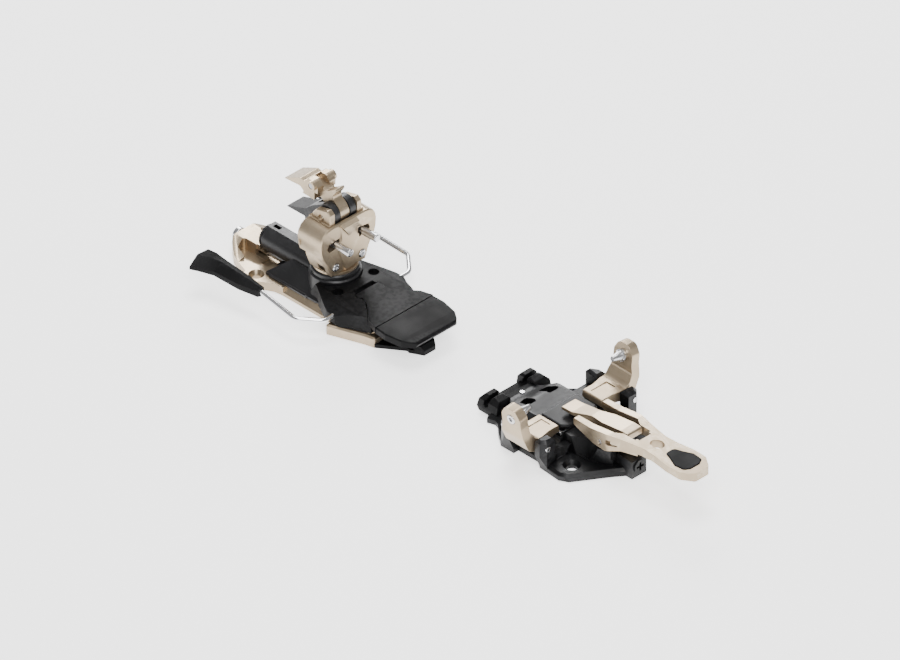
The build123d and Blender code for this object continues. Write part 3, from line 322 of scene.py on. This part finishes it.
# ------------------------------------------------------------------ mesh helpers
def merged_copy(node):
    """A joined copy of a CAD node's triangles, with flat areas as single faces."""
    mesh = bpy.data.meshes.new(node)
    work = bmesh.new()
    work.from_mesh(frame["nodes"][node].data)
    bmesh.ops.remove_doubles(work, verts=work.verts, dist=JOIN_DISTANCE)
    bmesh.ops.dissolve_degenerate(work, edges=work.edges, dist=SLIVER_LENGTH)
    bmesh.ops.dissolve_limit(work, angle_limit=math.radians(FLAT_ANGLE), verts=work.verts, edges=work.edges)
    work.to_mesh(mesh)
    work.free()
    return mesh


def baked(obj):
    """The object with its modifiers worked into its mesh."""
    bpy.context.view_layer.update()
    graph = bpy.context.evaluated_depsgraph_get()
    mesh = bpy.data.meshes.new_from_object(obj.evaluated_get(graph))
    obj.modifiers.clear()
    obj.data = mesh
    return obj


def broken_edges(node, width, segments=2, angle=32.0, smooth=34.0):
    """Replaces a CAD node by the same shape with its sharp edges broken."""
    mesh = merged_copy(node)
    mesh.materials.clear()
    mesh.materials.append(finishes()[SLOT_OF[node]])
    for polygon in mesh.polygons:
        polygon.material_index = 0
    piece = bpy.data.objects.new(node + "_piece", mesh)
    bpy.context.scene.collection.objects.link(piece)
    if width > 0:
        edge = piece.modifiers.new("Broken edges", "BEVEL")
        edge.width = width
        edge.segments = segments
        edge.limit_method = "ANGLE"
        edge.angle_limit = math.radians(angle)
        edge.use_clamp_overlap = True
        edge.miter_outer = "MITER_ARC"
        baked(piece)
    piece.data.shade_smooth()
    piece.data.set_sharp_from_angle(angle=math.radians(smooth))
    if width > 0:
        level = piece.modifiers.new("Flat faces stay flat", "WEIGHTED_NORMAL")
        level.keep_sharp = True
        baked(piece)
    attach(piece, BODY_OF[node])
    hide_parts(node)
    return piece


def plain_finish(*nodes):
    """Gives carried-over CAD nodes their finish."""
    for node in nodes:
        slots = frame["nodes"][node].data.materials
        slots.clear()
        slots.append(finishes()[SLOT_OF[node]])


def input_socket(tree, label, kind, default):
    socket = tree.interface.new_socket(label, in_out="INPUT", socket_type=kind)
    socket.default_value = default
    return socket.identifier


def ring_tree(material):
    """Rings set in a row along X, as the ridges of a thread."""
    tree = bpy.data.node_groups.new("Row of rings", "GeometryNodeTree")
    tree.interface.new_socket("Geometry", in_out="OUTPUT", socket_type="NodeSocketGeometry")
    names = {}
    for label, kind, default in (("Start", "NodeSocketVector", (0.0, 0.0, 0.0)),
                                 ("Count", "NodeSocketInt", 10),
                                 ("Pitch", "NodeSocketFloat", 1.25 * MM),
                                 ("Ring Radius", "NodeSocketFloat", 1.8 * MM),
                                 ("Ridge Radius", "NodeSocketFloat", 0.4 * MM)):
        names[label] = input_socket(tree, label, kind, default)
    source = tree.nodes.new("NodeGroupInput")
    sink = tree.nodes.new("NodeGroupOutput")
    step = tree.nodes.new("ShaderNodeCombineXYZ")
    tree.links.new(source.outputs["Pitch"], step.inputs["X"])
    line = tree.nodes.new("GeometryNodeMeshLine")
    line.mode = "OFFSET"
    tree.links.new(source.outputs["Count"], line.inputs["Count"])
    tree.links.new(source.outputs["Start"], line.inputs["Start Location"])
    tree.links.new(step.outputs["Vector"], line.inputs["Offset"])
    ring = tree.nodes.new("GeometryNodeCurvePrimitiveCircle")
    ring.inputs["Resolution"].default_value = 28
    tree.links.new(source.outputs["Ring Radius"], ring.inputs["Radius"])
    ridge = tree.nodes.new("GeometryNodeCurvePrimitiveCircle")
    ridge.inputs["Resolution"].default_value = 6
    tree.links.new(source.outputs["Ridge Radius"], ridge.inputs["Radius"])
    sweep = tree.nodes.new("GeometryNodeCurveToMesh")
    tree.links.new(ring.outputs["Curve"], sweep.inputs["Curve"])
    tree.links.new(ridge.outputs["Curve"], sweep.inputs["Profile Curve"])
    place = tree.nodes.new("GeometryNodeInstanceOnPoints")
    place.inputs["Rotation"].default_value = (0.0, math.pi / 2, 0.0)
    tree.links.new(line.outputs["Mesh"], place.inputs["Points"])
    tree.links.new(sweep.outputs["Mesh"], place.inputs["Instance"])
    real = tree.nodes.new("GeometryNodeRealizeInstances")
    tree.links.new(place.outputs["Instances"], real.inputs["Geometry"])
    paint = tree.nodes.new("GeometryNodeSetMaterial")
    paint.inputs["Material"].default_value = material
    tree.links.new(real.outputs["Geometry"], paint.inputs["Geometry"])
    tree.links.new(paint.outputs["Geometry"], sink.inputs["Geometry"])
    return tree, names


def row_of_rings(name, body, slot, start, count, pitch, ring_radius, ridge_radius):
    tree, names = ring_tree(finishes()[slot])
    piece = bpy.data.objects.new(name, bpy.data.meshes.new(name))
    bpy.context.scene.collection.objects.link(piece)
    rings = piece.modifiers.new("Rings", "NODES")
    rings.node_group = tree
    for label, value in (("Start", start), ("Count", count), ("Pitch", pitch), ("Ring Radius", ring_radius),
                         ("Ridge Radius", ridge_radius)):
        rings[names[label]] = value
    baked(piece)
    shell = bmesh.new()
    shell.from_mesh(piece.data)
    bmesh.ops.recalc_face_normals(shell, faces=shell.faces)
    shell.to_mesh(piece.data)
    shell.free()
    piece.data.shade_smooth()
    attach(piece, body)
    return piece


# ------------------------------------------------------------------ operators
class BINDING_OT_heel_plate(bpy.types.Operator):
    """Finish the heel base plate, its glide plate and its adjusting screw"""

    bl_idname = "binding.heel_plate"
    bl_label = "Heel plate"

    def execute(self, context):
        sizes = context.scene.binding_sizes
        broken_edges("heel_base_plate", sizes.metal_edge)
        broken_edges("glide_plate", sizes.plastic_edge)
        broken_edges("adjust_screw", sizes.small_edge)
        broken_edges("adjust_washer", sizes.small_edge)
        low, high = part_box("adjust_screw")
        pitch = sizes.thread_pitch
        start = low.x + THREAD_FROM_HEAD
        count = int((high.x - THREAD_TO_TIP - start) / pitch)
        axis_height = (low.z + high.z) / 2
        row_of_rings("adjust_screw_thread", "adjust_screw", "steel", (start, 0.0, axis_height), count, pitch,
                     SCREW_SHAFT - sizes.thread_depth, sizes.thread_depth + RIDGE_HEIGHT)
        return {"FINISHED"}


class BINDING_OT_carriage(bpy.types.Operator):
    """Finish the sliding carriage, its release tube and cap"""

    bl_idname = "binding.carriage"
    bl_label = "Carriage"

    def execute(self, context):
        sizes = context.scene.binding_sizes
        broken_edges("carriage", sizes.metal_edge)
        broken_edges("release_cap", sizes.small_edge)
        plain_finish("adjust_nut", "turret_bushes", "release_spring", "release_plunger")
        return {"FINISHED"}


class BINDING_OT_turret(bpy.types.Operator):
    """Finish the turret, its pins and their arms"""

    bl_idname = "binding.turret"
    bl_label = "Turret"

    def execute(self, context):
        sizes = context.scene.binding_sizes
        broken_edges("turret", sizes.metal_edge * WIDE_EDGE, segments=3)
        broken_edges("turret_ring", sizes.small_edge)
        for node in ("pin_arm_left", "pin_arm_right", "heel_pin_left", "heel_pin_right", "arm_pivot_screws"):
            broken_edges(node, sizes.small_edge)
        plain_finish("pin_spring")
        return {"FINISHED"}


class BINDING_OT_risers(bpy.types.Operator):
    """Finish the riser bracket and the two flip-up risers"""

    bl_idname = "binding.risers"
    bl_label = "Risers"

    def execute(self, context):
        sizes = context.scene.binding_sizes
        for node in ("riser_bracket", "upper_riser", "lower_riser"):
            broken_edges(node, sizes.metal_edge)
        broken_edges("riser_axle", sizes.small_edge)
        broken_edges("riser_magnets", sizes.small_edge)
        return {"FINISHED"}


class BINDING_OT_brake(bpy.types.Operator):
    """Finish the brake: housing, pedal, wire and paddles"""

    bl_idname = "binding.brake"
    bl_label = "Brake"

    def execute(self, context):
        sizes = context.scene.binding_sizes
        for node in ("brake_housing", "brake_pedal", "pedal_pad", "brake_paddle_left", "brake_paddle_right"):
            broken_edges(node, sizes.plastic_edge, segments=3)
        broken_edges("brake_wire", 0.0, smooth=WIRE_SMOOTH)
        broken_edges("brake_screws", sizes.small_edge)
        plain_finish("pedal_axle", "brake_spring")
        return {"FINISHED"}


class BINDING_OT_toe_unit(bpy.types.Operator):
    """Finish the toe base, its cover and the crampon socket"""

    bl_idname = "binding.toe_unit"
    bl_label = "Toe unit"

    def execute(self, context):
        sizes = context.scene.binding_sizes
        broken_edges("toe_base", sizes.metal_edge)
        broken_edges("toe_cover", sizes.metal_edge)
        broken_edges("crampon_socket", sizes.plastic_edge * SOCKET_EDGE)
        for node in ("boss_screw", "crampon_screw", "wing_hinge_pins", "lever_axle", "toe_spring_rods"):
            broken_edges(node, sizes.small_edge)
        broken_edges("toe_springs", 0.0, smooth=WIRE_SMOOTH)
        return {"FINISHED"}


class BINDING_OT_wings(bpy.types.Operator):
    """Finish the two pin wings with their fluted pins"""

    bl_idname = "binding.wings"
    bl_label = "Wings"

    def execute(self, context):
        sizes = context.scene.binding_sizes
        for side in ("left", "right"):
            broken_edges("wing_" + side, sizes.metal_edge * WIDE_EDGE, segments=3)
            broken_edges("toe_pin_" + side, sizes.small_edge)
            broken_edges("toe_pin_screw_" + side, sizes.small_edge)
        return {"FINISHED"}


class BINDING_OT_lever(bpy.types.Operator):
    """Finish the toe lever, its tongue and its thumb pad"""

    bl_idname = "binding.lever"
    bl_label = "Toe lever"

    def execute(self, context):
        sizes = context.scene.binding_sizes
        broken_edges("toe_lever", sizes.metal_edge * LEVER_EDGE, segments=3)
        broken_edges("lever_tongue", sizes.metal_edge * LEVER_EDGE, segments=3)
        broken_edges("lever_pad", sizes.plastic_edge * THUMB_PAD_EDGE)
        return {"FINISHED"}


class BINDING_OT_stage(bpy.types.Operator):
    """Set the pale floor, the soft lights and the camera"""

    bl_idname = "binding.stage"
    bl_label = "Stage"

    def execute(self, context):
        colours = context.scene.binding_colours
        floor_mesh = bpy.data.meshes.new("floor")
        corners = [(x * FLOOR_REACH, y * FLOOR_REACH, FLOOR_LEVEL)
                   for x, y in ((-1, -1), (1, -1), (1, 1), (-1, 1))]
        floor_mesh.from_pydata(corners, [], [(0, 1, 2, 3)])
        floor = bpy.data.objects.new("floor", floor_mesh)
        context.scene.collection.objects.link(floor)
        pale = bpy.data.materials.new("Pale floor")
        pale.use_nodes = True
        shader = pale.node_tree.nodes["Principled BSDF"]
        shader.inputs["Base Color"].default_value = tuple(colours.floor)
        shader.inputs["Roughness"].default_value = 0.9
        shader.inputs["Specular IOR Level"].default_value = 0.0
        shader.inputs["Emission Color"].default_value = tuple(colours.floor)
        shader.inputs["Emission Strength"].default_value = 1.6
        floor_mesh.materials.append(pale)
        world = bpy.data.worlds.new("Soft room")
        context.scene.world = world
        world.use_nodes = True
        sky = world.node_tree.nodes["Background"]
        sky.inputs["Color"].default_value = (1.0, 1.0, 1.0, 1.0)
        sky.inputs["Strength"].default_value = 0.42
        target = Vector(VIEW_TARGET)
        for name, place, side, power in LAMPS:
            lamp = bpy.data.lights.new(name, "AREA")
            lamp.shape = "SQUARE"
            lamp.size = side
            lamp.energy = power
            holder = bpy.data.objects.new(name, lamp)
            holder.location = place
            holder.rotation_euler = (target - Vector(place)).to_track_quat("-Z", "Y").to_euler()
            context.scene.collection.objects.link(holder)
        lens = bpy.data.cameras.new("Camera")
        lens.sensor_width = 36.0
        lens.lens = VIEW_LENS
        lens.clip_start = 0.1
        lens.clip_end = 60.0
        towards = Vector(VIEW_DIRECTION).normalized()
        camera = bpy.data.objects.new("Camera", lens)
        camera.location = target + towards * VIEW_DISTANCE
        camera.rotation_euler = (-towards).to_track_quat("-Z", "Y").to_euler()
        context.scene.collection.objects.link(camera)
        context.scene.camera = camera
        return {"FINISHED"}


STEPS = (BINDING_OT_heel_plate, BINDING_OT_carriage, BINDING_OT_turret, BINDING_OT_risers, BINDING_OT_brake,
         BINDING_OT_toe_unit, BINDING_OT_wings, BINDING_OT_lever, BINDING_OT_stage)


class BINDING_PT_panel(bpy.types.Panel):
    """Sizes, colours and steps of the binding"""

    bl_idname = "BINDING_PT_panel"
    bl_label = "Touring binding"
    bl_space_type = "VIEW_3D"
    bl_region_type = "UI"
    bl_category = "Binding"

    def draw(self, context):
        layout = self.layout
        for settings in (context.scene.binding_sizes, context.scene.binding_colours):
            box = layout.box()
            for key in settings.__annotations__:
                box.prop(settings, key)
        for step in STEPS:
            layout.operator(step.bl_idname)


CLASSES = (BindingSizes, BindingColours) + STEPS + (BINDING_PT_panel,)


def register():
    for cls in CLASSES:
        bpy.utils.register_class(cls)
    bpy.types.Scene.binding_sizes = bpy.props.PointerProperty(type=BindingSizes)
    bpy.types.Scene.binding_colours = bpy.props.PointerProperty(type=BindingColours)


def unregister():
    del bpy.types.Scene.binding_colours
    del bpy.types.Scene.binding_sizes
    for cls in reversed(CLASSES):
        bpy.utils.unregister_class(cls)


def main():
    register()
    for step in (bpy.ops.binding.heel_plate, bpy.ops.binding.carriage, bpy.ops.binding.turret,
                 bpy.ops.binding.risers, bpy.ops.binding.brake, bpy.ops.binding.toe_unit,
                 bpy.ops.binding.wings, bpy.ops.binding.lever, bpy.ops.binding.stage):
        step()


if __name__ == "__main__":
    main()
